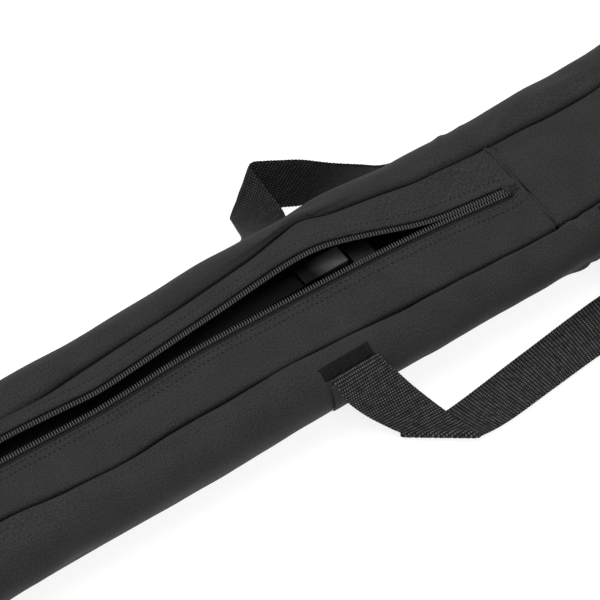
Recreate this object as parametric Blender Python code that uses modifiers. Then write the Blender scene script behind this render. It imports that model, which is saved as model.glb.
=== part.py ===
"""A folding music stand packed in its carry bag: the bag lies flat, its long zip is open, and the folded
mast, tripod and desk lie loose inside. Metres, +Z up, +X along the bag towards its closed sleeve.
The origin is the middle of the flat bottom panel."""

import math

import bmesh
import bpy
from mathutils import Matrix, Vector

# Bag shell
HALF_LENGTH = 0.350
FABRIC = 0.0012          # woven shell with its lining
GAP = 0.0003             # clearance between pieces that touch
HALF_FLAT = 0.0425       # half width of the flat bottom
HALF_TOP = 0.0354        # half width of the top, crease to crease
TOP_Z = 0.0461           # underside of the top panels
SEAM_X = 0.055           # cross seam between the zipped part and the closed sleeve
WELT = 0.003             # width of the raised cross seam
LEFT_BAND = 0.0085       # closed strip of top fabric left of the zip
SIDE_PROFILE = ((0.0434, 0.0013), (0.0482, 0.007), (0.0538, 0.0165), (0.0590, 0.028),
                (0.0570, 0.039), (0.0532, 0.0449), (0.0470, 0.0485), (0.0362, 0.0472))
NEAR_SEAT, FAR_SEAT = 5, 3     # index of the profile's point below the straps' sewn ends

# Zip
ROW_START = (-0.335, 0.0070)   # straight near row of teeth: first and last point
ROW_END = (0.0480, -0.0077)
ROW_PITCH = 0.0055             # spacing of the two rows where the slider holds them together
COIL_RADIUS = 0.0012
TAPE = 0.0008                  # tape thickness
TAPE_WIDTH = 0.0150
TAPE_Z = 0.0450                # underside of the tapes
COIL_Z = 0.0474                # centre height of the teeth
LIP_MARGIN = 0.0050            # bare tape between the near teeth and the near fabric edge
FAR_LIP = 0.0032               # from the far teeth to the far fabric edge
TEETH_IN = 0.0013              # how far a tape reaches past the middle of its teeth
STOP = (0.0013, 0.0040)        # half length and half width of a zip stop
MOUTH = ((-0.290, 0.0175), (-0.283, 0.0190), (-0.219, 0.0135), (-0.152, 0.0190),
         (-0.075, 0.0210), (-0.018, 0.0090))    # the far row where the mouth gapes
SLIDER_X = -0.322
SLIDER_SIZE = (0.011, 0.0105)  # length and width of the slider's plates
SLIDER_PLATE = 0.0012
SLIDER_NECK = 0.0008           # half width of the neck between the rows
PULL_LENGTH = 0.023
PULL_WIDTH = 0.0034            # half width of the pull
PULL_PIN = 0.0008

# Webbing handles
WEB_WIDTH = 0.032
WEB = 0.0020
NEAR_ROOT = (0.0534, 0.0463)   # where a strap leaves its sewn end: distance from the middle, height
FAR_ROOT = (0.0618, 0.0322)
ANCHOR = (0.0008, 0.0050)      # the sewn end's stretch of the fabric, down from the facet's upper edge
NEAR_ROOTS = (-0.097, 0.097)
FAR_ROOTS = (-0.075, 0.097)

# Folded stand, on an axis along X
MAST_Y = 0.018
MAST_Z = 0.020
HUB = (-0.334, -0.3140)
HUB_RADIUS = 0.017
PIVOT_X = -0.322               # leg pivots in the hub
PIVOT_R = 0.0128               # distance of every leg and strut pin from the mast's axis
LEG_END = -0.052
LEG_WIDTH = 0.010
LEG_RADII = (0.0108, 0.0175)
LEG_WALL = 0.0013
FOOT = (-0.080, -0.050)
FOOT_WIDTH = 0.0128
FOOT_TOP = 0.0205
FOOT_LOW = 0.0112
STRUT_PIVOT_X = -0.222
STRUT_END = -0.048
STRUT_RADII = (0.0110, 0.0146)
STRUT_HALF = 0.0033
LEG_TURNS = (0.0, 120.0, 240.0)
PIN_RADIUS = 0.0015
HUB_PIN = 0.0100               # half length of a hub pin
TUBES = {"lower_tube": (0.0090, 0.0100, -0.3135, 0.140),
         "middle_tube": (0.0070, 0.0080, -0.250, 0.165),
         "upper_tube": (0.0052, 0.0062, -0.200, 0.190)}
KNOB_RADIUS = 0.0090

# Folded desk
DESK_Y = -0.0315               # middle plane of the spine
DESK_Z = 0.0210
BAR = 0.0030
LAYER = 0.0034                 # spacing of the stacked desk bars
UPPER_PIVOT_X = -0.020
LOWER_PIVOT_X = 0.080
UPPER_TIP = -0.240
LOWER_TIP = 0.225
SPINE = (-0.060, 0.120)
SPINE_HALF = 0.0130
ARM_HALF = 0.0065
RIVET = 0.0020
SOCKET_X = 0.040
SOCKET_Y = -0.0140
SOCKET_HALF = 0.020            # half length of the socket
SOCKET_RADII = (0.0090, 0.0066)
TILT_PIN = 0.0026

NEAR, FAR = -1, 1


# ---------------------------------------------------------------- shared helpers

def clear_scene():
    for obj in list(bpy.data.objects):
        bpy.data.objects.remove(obj, do_unlink=True)


def collection(name):
    made = bpy.data.collections.new(name)
    bpy.context.scene.collection.children.link(made)
    return made


def material(name, colour, roughness, metallic=0.0):
    made = bpy.data.materials.new(name)
    made.use_nodes = True
    shader = made.node_tree.nodes["Principled BSDF"]
    shader.inputs["Base Color"].default_value = (*colour, 1.0)
    shader.inputs["Roughness"].default_value = roughness
    shader.inputs["Metallic"].default_value = metallic
    return made


def add_object(name, data, finish, place=None):
    obj = bpy.data.objects.new(name, data)
    if finish is None:
        CUTTERS.objects.link(obj)
        obj.hide_render = True
        obj.display_type = "WIRE"
    else:
        PARTS.objects.link(obj)
        data.materials.append(finish)
    if place is not None:
        obj.matrix_world = place
    return obj


def bevel(obj, width):
    rounding = obj.modifiers.new("Rounding", "BEVEL")
    rounding.width = width
    rounding.segments = 2
    rounding.limit_method = "ANGLE"
    return obj


def box(name, low, high, finish, rounding=0.0, place=None):
    """A block between two corners, in the frame of place."""
    mesh = bpy.data.meshes.new(name)
    grown = bmesh.new()
    bmesh.ops.create_cube(grown, size=1.0)
    size = Vector(high) - Vector(low)
    bmesh.ops.scale(grown, vec=size, verts=grown.verts)
    bmesh.ops.translate(grown, vec=Vector(low) + size / 2, verts=grown.verts)
    grown.to_mesh(mesh)
    grown.free()
    obj = add_object(name, mesh, finish, place)
    return bevel(obj, rounding) if rounding else obj


def rod(name, start, end, radius, finish, sides=12, place=None):
    """A plain cylinder from start to end, in the frame of place."""
    start, end = Vector(start), Vector(end)
    along = end - start
    turn = Vector((0, 0, 1)).rotation_difference(along).to_matrix().to_4x4()
    mesh = bpy.data.meshes.new(name)
    grown = bmesh.new()
    bmesh.ops.create_cone(grown, cap_ends=True, segments=sides, radius1=radius, radius2=radius,
                          depth=along.length, matrix=Matrix.Translation((start + end) / 2) @ turn)
    grown.to_mesh(mesh)
    grown.free()
    mesh.shade_smooth()
    mesh.set_sharp_from_angle(angle=math.radians(40))
    return add_object(name, mesh, finish, place)


def turned(name, profile, finish, place, steps=24):
    """A closed profile of (radius, height) points, listed down its outer side, turned about place's Z."""
    mesh = bpy.data.meshes.new(name)
    points = [(radius, 0.0, height) for radius, height in profile]
    closed = all(radius > 0 for radius, _ in profile)
    last = len(points) if closed else len(points) - 1
    mesh.from_pydata(points, [(i, (i + 1) % len(points)) for i in range(last)], [])
    obj = add_object(name, mesh, finish, place)
    spin = obj.modifiers.new("Turn", "SCREW")
    spin.steps = steps
    spin.render_steps = steps
    spin.use_merge_vertices = True
    spin.merge_threshold = 0.00005
    spin.use_smooth_shade = False
    return obj


def panel(name, profile, x_start, x_end, side, finish):
    """Fabric that keeps one cross-section along X: an open strip with thickness on its inner side."""
    mesh = bpy.data.meshes.new(name)
    grown = bmesh.new()
    row = [grown.verts.new((x_start, side * y, z)) for y, z in profile]
    edges = [grown.edges.new(pair) for pair in zip(row, row[1:])]
    swept = bmesh.ops.extrude_edge_only(grown, edges=edges)["geom"]
    moved = [part for part in swept if isinstance(part, bmesh.types.BMVert)]
    bmesh.ops.translate(grown, vec=(x_end - x_start, 0, 0), verts=moved)
    outward = 0.0
    for face in grown.faces:
        face.normal_update()
        middle = face.calc_center_median()
        outward += face.calc_area() * face.normal.dot((0, middle.y, middle.z - TOP_Z / 2))
    if outward < 0:
        bmesh.ops.reverse_faces(grown, faces=grown.faces[:])
    grown.to_mesh(mesh)
    grown.free()
    return thicken(add_object(name, mesh, finish), FABRIC, -1.0)


def thicken(obj, thickness, offset):
    shell = obj.modifiers.new("Thickness", "SOLIDIFY")
    shell.thickness = thickness
    shell.offset = offset
    return obj


def ribbon(name, edge_a, edge_b, thickness, finish):
    """A flat strap between two edge lines with the same number of points."""
    mesh = bpy.data.meshes.new(name)
    points = [*edge_a, *edge_b]
    count = len(edge_a)
    faces = [(i, i + 1, count + i + 1, count + i) for i in range(count - 1)]
    mesh.from_pydata(points, [], faces)
    return thicken(add_object(name, mesh, finish), thickness, 0.0)


def outline(name, points, thickness, finish, place, as_mesh=False):
    """A flat outline in place's XY plane, thick along its Z, centred on it."""
    curve = bpy.data.curves.new(name, "CURVE")
    curve.dimensions = "2D"
    curve.fill_mode = "BOTH"
    curve.extrude = thickness / 2
    spline = curve.splines.new("POLY")
    spline.points.add(len(points) - 1)
    for point, (x, y) in zip(spline.points, points):
        point.co = (x, y, 0.0, 1.0)
    spline.use_cyclic_u = True
    obj = add_object(name, curve, finish, place)
    return welded(obj, finish) if as_mesh else obj


def welded(obj, finish):
    """A curve's shape as a mesh that can be cut, in the same place and with the same name."""
    bpy.context.view_layer.update()
    graph = bpy.context.evaluated_depsgraph_get()
    mesh = bpy.data.meshes.new_from_object(obj.evaluated_get(graph))
    grown = bmesh.new()
    grown.from_mesh(mesh)
    bmesh.ops.remove_doubles(grown, verts=grown.verts, dist=0.00001)
    grown.to_mesh(mesh)
    grown.free()
    mesh.materials.clear()
    name, place = obj.name, obj.matrix_world.copy()
    bpy.data.objects.remove(obj, do_unlink=True)
    return add_object(name, mesh, finish, place)


def cut(obj, cutter, operation="DIFFERENCE"):
    step = obj.modifiers.new(operation.title(), "BOOLEAN")
    step.operation = operation
    step.solver = "EXACT"
    step.object = cutter
    return obj


def join(obj, addition):
    return cut(obj, addition, "UNION")


def across_x(x):
    """A frame whose XY plane is the world's YZ plane at x."""
    return Matrix(((0, 0, 1, x), (1, 0, 0, 0), (0, 1, 0, 0), (0, 0, 0, 1)))


def along_x(x, y, z):
    """A frame at a point whose Z axis runs along world +X and whose X axis points down."""
    return Matrix.Translation((x, y, z)) @ Matrix.Rotation(math.pi / 2, 4, "Y")


# ---------------------------------------------------------------- bag

def near_row_y(x):
    slope = (ROW_END[1] - ROW_START[1]) / (ROW_END[0] - ROW_START[0])
    return ROW_START[1] + slope * (x - ROW_START[0])


def far_row():
    """Far row of teeth: beside the near row at both ends, gaping between them."""
    left = [(x, near_row_y(x) + ROW_PITCH) for x in (ROW_START[0], -0.312)]
    right = [(x, near_row_y(x) + ROW_PITCH) for x in (0.015, ROW_END[0])]
    return [*left, *MOUTH, *right]


def bag_shell():
    start, end = -HALF_LENGTH + FABRIC + GAP, HALF_LENGTH - FABRIC - GAP
    box("bottom_panel", (start, -HALF_FLAT, 0), (end, HALF_FLAT, FABRIC), SHELL)
    panel("gusset_near", SIDE_PROFILE, start, end, NEAR, SHELL)
    panel("gusset_far", SIDE_PROFILE, start, end, FAR, SHELL)
    section = [(y, z) for y, z in SIDE_PROFILE] + [(-y, z) for y, z in reversed(SIDE_PROFILE)]
    middle = HALF_LENGTH - FABRIC / 2
    for name, x in (("end_panel_left", -middle), ("end_panel_right", middle)):
        outline(name, section, FABRIC, SHELL, across_x(x))
    zip_start = start + LEFT_BAND
    box("top_band_left", (start, -HALF_TOP, TOP_Z), (zip_start - GAP, HALF_TOP, TOP_Z + FABRIC), SHELL)
    zip_end = SEAM_X - WELT / 2 - GAP
    flat = Matrix.Translation((0, 0, TOP_Z + FABRIC / 2))
    near_edge = [(x, near_row_y(x) - LIP_MARGIN) for x in (zip_end, zip_start)]
    outline("top_panel_near", [(zip_start, -HALF_TOP), (zip_end, -HALF_TOP), *near_edge], FABRIC, SHELL, flat)
    row = [(zip_start, far_row()[0][1]), *far_row()[1:-1], (zip_end, far_row()[-1][1])]
    far_edge = [(x, y + FAR_LIP) for x, y in row]
    outline("top_panel_far", [(zip_end, HALF_TOP), (zip_start, HALF_TOP), *far_edge], FABRIC, SHELL, flat)
    sleeve_start = SEAM_X + WELT / 2 + GAP
    box("sleeve_top", (sleeve_start, -HALF_TOP, TOP_Z), (end, HALF_TOP, TOP_Z + FABRIC), SHELL)
    box("cross_seam_welt", (SEAM_X - WELT / 2, -HALF_TOP, TOP_Z),
        (SEAM_X + WELT / 2, HALF_TOP, TOP_Z + 0.0022), BINDING, rounding=0.0006)


def zip_rows():
    """Two tapes under the fabric edges, each with its row of teeth along the mouth."""
    near = [(x, near_row_y(x)) for x in (ROW_START[0], ROW_END[0])]
    for name, row, side in (("zip_tape_near", near, NEAR), ("zip_tape_far", far_row(), FAR)):
        lips = [(x, y - side * TEETH_IN) for x, y in row]
        backs = [(x, y + side * (TAPE_WIDTH - TEETH_IN)) for x, y in reversed(row)]
        flat = Matrix.Translation((0, 0, TAPE_Z + TAPE / 2))
        outline(name, [*lips, *backs], TAPE, TAPES, flat)
    for name, row in (("zip_teeth_near", near), ("zip_teeth_far", far_row())):
        curve = bpy.data.curves.new(name, "CURVE")
        curve.dimensions = "3D"
        curve.bevel_depth = COIL_RADIUS
        curve.bevel_resolution = 2
        curve.use_fill_caps = True
        spline = curve.splines.new("POLY")
        inset = [(row[0][0] + 0.001, row[0][1]), *row[1:-1], (row[-1][0] - 0.004, row[-1][1])]
        spline.points.add(len(inset) - 1)
        for point, (x, y) in zip(spline.points, inset):
            point.co = (x, y, COIL_Z, 1.0)
        add_object(name, curve, TEETH)
    half_length, half_width = STOP
    stops = ((ROW_START[0] - 0.0006, "zip_stop_left"), (ROW_END[0] - 0.0015, "zip_stop_right"))
    for x, name in stops:
        middle = near_row_y(x) + ROW_PITCH / 2
        box(name, (x - half_length, middle - half_width, COIL_Z - COIL_RADIUS),
            (x + half_length, middle + half_width, COIL_Z + 0.0014), STEEL, rounding=0.0004)


def zip_slider():
    """Two plates joined by a neck between the rows, and a pull that flips on a pin across the top."""
    length, width = SLIDER_SIZE
    middle = near_row_y(SLIDER_X) + ROW_PITCH / 2
    slope = math.atan2(ROW_END[1] - ROW_START[1], ROW_END[0] - ROW_START[0])
    place = Matrix.Translation((SLIDER_X, middle, 0)) @ Matrix.Rotation(slope, 4, "Z")
    top = COIL_Z + COIL_RADIUS + GAP
    under = TAPE_Z - GAP
    side = box("slider_block", (-length / 2, -width / 2, under - SLIDER_PLATE),
               (length / 2, width / 2, top + SLIDER_PLATE), STEEL, rounding=0.0006, place=place)
    for hand in (NEAR, FAR):
        reach = sorted((hand * SLIDER_NECK, hand * width))
        cut(side, box(f"cutter_row_{hand}", (-length, reach[0], under), (length, reach[1], top), None,
                      place=place))
    side.name = "slider_body"
    pin_z = top + SLIDER_PLATE + 0.0023
    reach = PULL_WIDTH + 0.0001
    rod("pull_pin", (0, -reach, pin_z), (0, reach, pin_z), PULL_PIN, STEEL, place=place)
    for hand in (NEAR, FAR):
        low, high = sorted((hand * (PULL_WIDTH + 0.0004), hand * (PULL_WIDTH + 0.0014)))
        join(side, box(f"ear_{hand}", (-0.0016, low, top + SLIDER_PLATE / 2),
                       (0.0016, high, pin_z + 0.0016), None, place=place))
    knuckle_radius = 0.0019
    tab = box("slider_pull", (-PULL_LENGTH, -PULL_WIDTH, pin_z - 0.0006),
              (knuckle_radius, PULL_WIDTH, pin_z + 0.0006), STEEL, place=place)
    knuckle = rod("knuckle", (0, -PULL_WIDTH, pin_z), (0, PULL_WIDTH, pin_z), knuckle_radius, None,
                  place=place)
    cut(join(tab, knuckle), rod("cutter_pull_pin", (0, -2 * PULL_WIDTH, pin_z), (0, 2 * PULL_WIDTH, pin_z),
                                PULL_PIN + GAP, None, place=place))


# ---------------------------------------------------------------- handles

def near_handle():
    """Falls over the near side, turns on the table, lies flat beside the bag and rises to its right end."""
    left, right = NEAR_ROOTS
    half = WEB_WIDTH / 2
    root_y, root_z = NEAR_ROOT
    outer = [(left - half, -root_y, root_z), (-0.1115, -0.0570, 0.0432), (-0.1060, -0.0625, 0.0340),
             (-0.0970, -0.0700, 0.0180), (-0.0840, -0.0820, 0.0050), (-0.0660, -0.0980, 0.0016),
             (-0.0480, -0.1075, 0.0016), (0.0000, -0.1043, 0.0040), (0.0400, -0.1008, 0.0040),
             (0.0780, -0.0992, 0.0018), (0.0990, -0.0900, 0.0050), (0.1110, -0.0760, 0.0190),
             (right + half, -0.0640, 0.0350), (right + half, -root_y, root_z)]
    inner = [(left + half, -root_y, root_z), (-0.0790, -0.0573, 0.0434), (-0.0750, -0.0635, 0.0360),
             (-0.0675, -0.0720, 0.0240), (-0.0610, -0.0790, 0.0140), (-0.0550, -0.0822, 0.0060),
             (-0.0490, -0.0812, 0.0022), (0.0000, -0.0752, 0.0018), (0.0400, -0.0706, 0.0018),
             (0.0660, -0.0680, 0.0022), (0.0760, -0.0673, 0.0110), (0.0800, -0.0655, 0.0240),
             (right - half, -0.0616, 0.0370), (right - half, -root_y, root_z)]
    ribbon("handle_near", outer, inner, WEB, WEBBING)


def far_handle():
    """Leans out from the far side and stands on its lower edge behind the bag."""
    left, right = FAR_ROOTS
    half = WEB_WIDTH / 2
    root_y, root_z = FAR_ROOT
    outer = [(left - half, root_y, root_z), (-0.0905, 0.0650, 0.0325), (-0.0885, 0.0725, 0.0335),
             (-0.0740, 0.0900, 0.0340), (-0.0520, 0.1040, 0.0320), (-0.0260, 0.0900, 0.0310),
             (-0.0060, 0.0735, 0.0290), (0.0180, 0.0655, 0.0250), (0.0600, 0.0640, 0.0250),
             (0.0950, 0.0638, 0.0290), (right + half, 0.0632, 0.0312), (right + half, root_y, root_z)]
    inner = [(left + half, root_y, root_z), (-0.0588, 0.0643, 0.0275), (-0.0560, 0.0695, 0.0190),
             (-0.0500, 0.0790, 0.0100), (-0.0410, 0.0860, 0.0030), (-0.0220, 0.0830, 0.0020),
             (0.0000, 0.0770, 0.0020), (0.0220, 0.0700, 0.0020), (0.0520, 0.0665, 0.0060),
             (0.0720, 0.0650, 0.0160), (right - half, 0.0634, 0.0265), (right - half, root_y, root_z)]
    ribbon("handle_far", outer, inner, WEB, WEBBING)


def handle_anchors():
    """The sewn-down ends of the webbing, flat on the near shoulder and on the far side."""
    for side, seat, roots, word in ((NEAR, NEAR_SEAT, NEAR_ROOTS, "near"), (FAR, FAR_SEAT, FAR_ROOTS, "far")):
        (low_y, low_z), (high_y, high_z) = SIDE_PROFILE[seat:seat + 2]
        down = Vector((0, side * (low_y - high_y), low_z - high_z)).normalized()
        out = Vector((0, -side * down.z, side * down.y))
        for x, hand in zip(roots, ("left", "right")):
            edge = Vector((x, side * high_y, high_z))
            middle = edge + down * sum(ANCHOR) / 2 + out * (GAP + WEB / 2)
            place = Matrix.Translation(middle) @ Matrix.Rotation(math.atan2(down.z, down.y), 4, "X")
            reach = (ANCHOR[1] - ANCHOR[0]) / 2
            box(f"anchor_{word}_{hand}", (-WEB_WIDTH / 2, -reach, -WEB / 2), (WEB_WIDTH / 2, reach, WEB / 2),
                WEBBING, place=place)


# ---------------------------------------------------------------- stand

def mast():
    for name, (bore, radius, start, end) in TUBES.items():
        ring = [(radius, end), (radius, start), (bore, start), (bore, end)]
        turned(name, ring, STEEL_BLACK, along_x(0, MAST_Y, MAST_Z))
    collar = [(0.0150, -0.032), (0.0150, -0.046), (0.0103, -0.046), (0.0103, -0.032)]
    turned("sliding_collar", collar, PLASTIC, along_x(0, MAST_Y, MAST_Z))


def clamp(name, tube, inside, start, knob_name):
    """A cap on a tube's end that guides the next tube, and a thumb knob screwed into its side."""
    _, radius, _, tube_end = TUBES[tube]
    _, guided, _, _ = TUBES[inside]
    fit, bore, wall = radius + GAP, guided + GAP, radius + 0.004
    lip = tube_end + 0.0055
    step = tube_end + GAP
    cap = [(wall, lip), (wall, start), (fit, start), (fit, step), (bore, step), (bore, lip)]
    collar = turned(name, cap, PLASTIC, along_x(0, MAST_Y, MAST_Z))
    knob_x = start + 0.008
    stem = 0.0021
    cut(collar, rod(f"cutter_{name}", (knob_x, MAST_Y + fit - 0.002, MAST_Z),
                    (knob_x, MAST_Y + wall + 0.01, MAST_Z), stem + GAP, None))
    head = wall + 0.004
    profile = [(0, head + 0.008), (KNOB_RADIUS - 0.001, head + 0.008), (KNOB_RADIUS, head + 0.007),
               (KNOB_RADIUS, head), (stem, head), (stem, radius + 0.0008), (0, radius + 0.0008)]
    sideways = Matrix.Translation((knob_x, MAST_Y, MAST_Z)) @ Matrix.Rotation(-math.pi / 2, 4, "X")
    turned(knob_name, profile, PLASTIC, sideways, steps=16)


def leg_frame(turn):
    """A frame on the mast's axis: X along the mast, Y across the leg, Z out to the leg."""
    return Matrix.Translation((0, MAST_Y, MAST_Z)) @ Matrix.Rotation(math.radians(turn), 4, "X")


def hub():
    """The plastic hub at the mast's foot, slotted for three legs, with a pin across each slot."""
    start, end = HUB
    spigot, shaft = 0.0087, end + 0.014
    profile = [(0, shaft), (spigot, shaft), (spigot, end), (HUB_RADIUS, end), (HUB_RADIUS, start), (0, start)]
    body = turned("bottom_hub", profile, PLASTIC, along_x(0, MAST_Y, MAST_Z))
    for index, turn in enumerate(LEG_TURNS):
        place = leg_frame(turn)
        half = LEG_WIDTH / 2 + GAP
        cut(body, box(f"cutter_slot_{index}", (start + 0.003, -half, LEG_RADII[0] - 0.0012),
                      (end + 0.001, half, 0.03), None, place=place))
        hole = rod(f"cutter_hub_pin_{index}", (PIVOT_X, -0.03, PIVOT_R), (PIVOT_X, 0.03, PIVOT_R),
                   PIN_RADIUS + GAP, None, place=place)
        cut(body, hole)


def leg(turn, letter):
    """A channel open towards the mast, pinned in the hub, with a strut inside it and a rubber foot."""
    place = leg_frame(turn)
    low, high = LEG_RADII
    half, room = LEG_WIDTH / 2, LEG_WIDTH / 2 - LEG_WALL
    start = PIVOT_X - 0.006
    channel = [(-half, low), (-room, low), (-room, high - LEG_WALL), (room, high - LEG_WALL), (room, low),
               (half, low), (half, high), (-half, high)]
    bar = outline(f"leg_{letter}", channel, LEG_END - start, STEEL_BLACK,
                  place @ across_x((start + LEG_END) / 2), as_mesh=True)

    def crosswise(name, x, reach, radius, finish):
        return rod(name, (x, -reach, PIVOT_R), (x, reach, PIVOT_R), radius, finish, place=place)

    through = 0.02
    cut(bar, crosswise(f"cutter_leg_{letter}_hub", PIVOT_X, through, PIN_RADIUS + GAP, None))
    cut(bar, crosswise(f"cutter_leg_{letter}_strut", STRUT_PIVOT_X, through, PIN_RADIUS + GAP, None))
    crosswise(f"hub_pin_{letter}", PIVOT_X, HUB_PIN, PIN_RADIUS, STEEL)
    crosswise(f"strut_pin_{letter}", STRUT_PIVOT_X, half, PIN_RADIUS, STEEL)
    strut = box(f"strut_{letter}", (STRUT_PIVOT_X - 0.004, -STRUT_HALF, STRUT_RADII[0]),
                (STRUT_END, STRUT_HALF, STRUT_RADII[1]), STEEL_BLACK, place=place)
    cut(strut, crosswise(f"cutter_strut_{letter}", STRUT_PIVOT_X, through, PIN_RADIUS + GAP / 2, None))
    foot = box(f"foot_{letter}", (FOOT[0], -FOOT_WIDTH / 2, FOOT_LOW), (FOOT[1], FOOT_WIDTH / 2, FOOT_TOP),
               RUBBER, rounding=0.0014, place=place)
    slot = LEG_WIDTH / 2 + GAP
    past = 0.01
    cut(foot, box(f"cutter_foot_{letter}", (FOOT[0] - past, -slot, FOOT_LOW - past),
                  (LEG_END + GAP, slot, high + GAP), None, place=place))
    way = STRUT_HALF + 0.0007
    cut(foot, box(f"cutter_foot_way_{letter}", (FOOT[0] - past, -way, FOOT_LOW - past),
                  (FOOT[1] + past, way, STRUT_RADII[1] + 0.0007), None, place=place))


# ---------------------------------------------------------------- desk

def desk():
    """The folded desk: a spine plate with four arms pinned to it, two of them with a page rest at the tip."""
    half = BAR / 2
    spine = box("desk_spine", (SPINE[0], DESK_Y - half, DESK_Z - SPINE_HALF),
                (SPINE[1], DESK_Y + half, DESK_Z + SPINE_HALF), STEEL_BLACK, rounding=0.001)
    arms = (("upper_arm_left", UPPER_PIVOT_X, UPPER_TIP, NEAR),
            ("upper_arm_right", UPPER_PIVOT_X, UPPER_TIP, FAR),
            ("lower_arm_left", LOWER_PIVOT_X, LOWER_TIP, NEAR),
            ("lower_arm_right", LOWER_PIVOT_X, LOWER_TIP, FAR))
    for name, pivot, tip, side in arms:
        y = DESK_Y + side * LAYER
        ends = sorted((pivot + math.copysign(0.008, pivot - tip), tip))
        bar = box(name, (ends[0], y - half, DESK_Z - ARM_HALF), (ends[1], y + half, DESK_Z + ARM_HALF),
                  STEEL_BLACK, rounding=0.0008)
        cut(bar, rod(f"cutter_{name}", (pivot, y - 0.01, DESK_Z), (pivot, y + 0.01, DESK_Z),
                     RIVET + GAP, None))
        if tip == LOWER_TIP:
            rest_x = tip - 0.012
            join(bar, rod(f"page_rest_{name}", (rest_x, y, DESK_Z), (rest_x, y, DESK_Z + 0.0150),
                          0.0011, None, sides=8))
    for name, pivot in (("upper_arm_rivet", UPPER_PIVOT_X), ("lower_arm_rivet", LOWER_PIVOT_X)):
        ends = LAYER + half + 0.0012
        shank = ends - 0.0009
        cut(spine, rod(f"cutter_{name}", (pivot, DESK_Y - 0.01, DESK_Z), (pivot, DESK_Y + 0.01, DESK_Z),
                       RIVET + GAP, None))
        head = 0.0042
        profile = [(0, ends), (head, ends), (head, shank), (RIVET, shank),
                   (RIVET, -shank), (head, -shank), (head, -ends), (0, -ends)]
        sideways = Matrix.Translation((pivot, DESK_Y, DESK_Z)) @ Matrix.Rotation(-math.pi / 2, 4, "X")
        turned(name, profile, STEEL, sideways, steps=12)


def desk_socket():
    """A bracket on the spine carries the socket on a tilt pin along Y, locked by a thumb knob."""
    near_face = DESK_Y + BAR / 2 + GAP
    socket_radius, socket_bore = SOCKET_RADII
    bracket_end = SOCKET_Y - socket_radius - 0.0008
    bracket = box("tilt_bracket", (SOCKET_X - 0.010, near_face, DESK_Z - 0.007),
                  (SOCKET_X + 0.010, bracket_end, DESK_Z + 0.007), PLASTIC, rounding=0.001)
    pin = TILT_PIN
    cut(bracket, rod("cutter_bracket", (SOCKET_X, bracket_end - 0.004, DESK_Z),
                     (SOCKET_X, bracket_end + 0.01, DESK_Z), pin + GAP, None))
    ring = [(socket_radius, SOCKET_HALF), (socket_radius, -SOCKET_HALF),
            (socket_bore, -SOCKET_HALF), (socket_bore, SOCKET_HALF)]
    socket = turned("desk_socket", ring, PLASTIC, along_x(SOCKET_X, SOCKET_Y, DESK_Z))
    cut(socket, rod("cutter_socket_far", (SOCKET_X, SOCKET_Y, DESK_Z), (SOCKET_X, SOCKET_Y + 0.02, DESK_Z),
                    pin + GAP, None))
    rod("tilt_pin", (SOCKET_X, bracket_end - 0.0035, DESK_Z),
        (SOCKET_X, SOCKET_Y - socket_radius - GAP, DESK_Z), pin, STEEL)
    head, top, nose = socket_radius + 0.0020, 0.0180, socket_bore - 0.0002
    profile = [(0, top), (KNOB_RADIUS - 0.002, top), (KNOB_RADIUS - 0.001, top - 0.001),
               (KNOB_RADIUS - 0.001, head), (pin, head), (pin, nose), (0, nose)]
    sideways = Matrix.Translation((SOCKET_X, SOCKET_Y, DESK_Z)) @ Matrix.Rotation(-math.pi / 2, 4, "X")
    turned("tilt_knob", profile, PLASTIC, sideways, steps=16)


clear_scene()
PARTS = collection("music_stand_in_bag")
CUTTERS = collection("cutters")
SHELL = material("black_polyester", (0.030, 0.030, 0.032), 0.85)
BINDING = material("black_binding", (0.020, 0.020, 0.022), 0.90)
TAPES = material("zip_tape", (0.018, 0.018, 0.020), 0.90)
TEETH = material("zip_teeth", (0.050, 0.050, 0.055), 0.40)
WEBBING = material("webbing", (0.035, 0.035, 0.036), 0.80)
STEEL = material("nickel_steel", (0.450, 0.450, 0.460), 0.35, 0.9)
STEEL_BLACK = material("black_steel", (0.020, 0.020, 0.022), 0.45, 0.2)
PLASTIC = material("black_plastic", (0.022, 0.022, 0.024), 0.50)
RUBBER = material("black_foot", (0.020, 0.020, 0.021), 0.30)

bag_shell()
zip_rows()
zip_slider()
near_handle()
far_handle()
handle_anchors()
mast()
clamp("lower_clamp", "lower_tube", "middle_tube", 0.124, "lower_knob")
clamp("upper_clamp", "middle_tube", "upper_tube", 0.1512, "upper_knob")
hub()
for leg_turn, leg_letter in zip(LEG_TURNS, "abc"):
    leg(leg_turn, leg_letter)
desk()
desk_socket()
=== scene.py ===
"""Looks of a folding music stand packed in its open carry bag: sewn polyester panels, a coil zip, two
webbing handles and the folded stand's black steel and plastic. Metres, in the frame of the CAD model."""

import math

import bmesh
import bpy
import numpy as np
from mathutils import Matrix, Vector, noise


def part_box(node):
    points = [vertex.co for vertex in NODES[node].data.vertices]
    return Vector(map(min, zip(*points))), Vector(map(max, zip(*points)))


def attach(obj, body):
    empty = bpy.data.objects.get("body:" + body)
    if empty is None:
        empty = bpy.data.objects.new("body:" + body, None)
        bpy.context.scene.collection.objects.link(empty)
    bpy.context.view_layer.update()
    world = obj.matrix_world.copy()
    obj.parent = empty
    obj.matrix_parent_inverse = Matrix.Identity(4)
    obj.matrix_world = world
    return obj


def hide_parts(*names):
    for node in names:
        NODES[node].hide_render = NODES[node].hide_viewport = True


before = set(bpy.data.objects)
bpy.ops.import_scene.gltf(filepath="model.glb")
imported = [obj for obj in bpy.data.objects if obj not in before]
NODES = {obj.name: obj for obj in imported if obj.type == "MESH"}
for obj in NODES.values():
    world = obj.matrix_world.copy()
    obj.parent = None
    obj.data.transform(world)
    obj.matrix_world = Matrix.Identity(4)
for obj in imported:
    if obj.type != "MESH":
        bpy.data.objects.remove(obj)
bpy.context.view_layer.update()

NEAR, FAR = -1, 1
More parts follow.
